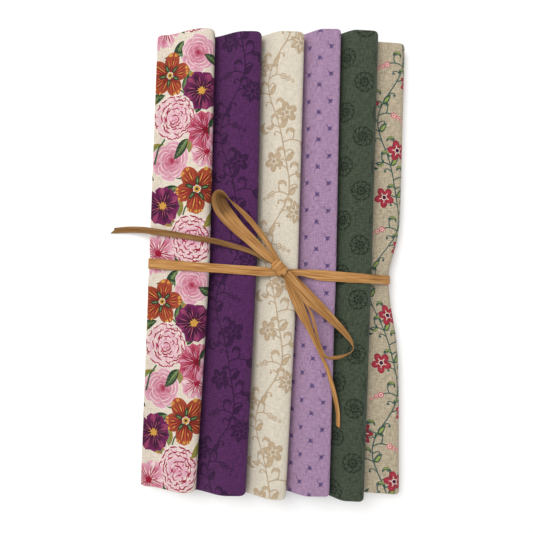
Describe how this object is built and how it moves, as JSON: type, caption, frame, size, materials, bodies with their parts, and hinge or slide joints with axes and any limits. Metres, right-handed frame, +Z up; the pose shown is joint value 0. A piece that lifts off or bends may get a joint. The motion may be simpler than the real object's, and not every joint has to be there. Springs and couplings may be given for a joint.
{
  "type": "tied bundle of folded fabric cuts",
  "caption": "Folded cotton fabric cuts laid side by side like shingles and tied round the waist with a flat raffia tie, its bow and two loose tails on top.",
  "frame": {"origin": "On the surface that the bundle lies on, under the middle of its box without the loose tails.", "axes": "+Z up, +Y along the folded strips, +X from the topmost strip to the lowest."},
  "size_m": [0.188, 0.2892, 0.0266],
  "materials": {
    "floral_cotton": "woven cotton, off-white with a printed flower design",
    "plum_cotton": "woven cotton, plum with a darker tonal vine print",
    "cream_cotton": "woven cotton, cream with a tan tonal vine print",
    "lilac_cotton": "woven cotton, lilac with small violet sprigs",
    "green_cotton": "woven cotton, dark green with darker rosettes",
    "linen_cotton": "woven cotton with a linen look, beige with red flowers on green vines",
    "raffia": "dry flat palm fibre, golden brown with lengthwise streaks"
  },
  "bodies": {
    "root": {"cloth_floral": "floral_cotton", "cloth_plum": "plum_cotton", "cloth_cream": "cream_cotton", "cloth_lilac": "lilac_cotton", "cloth_green": "green_cotton", "cloth_linen": "linen_cotton", "tie_band": "raffia", "tie_knot": "raffia", "bow_upper": "raffia", "bow_lower": "raffia", "tail_left": "raffia", "tail_low": "raffia"}
  },
  "joints": []
}
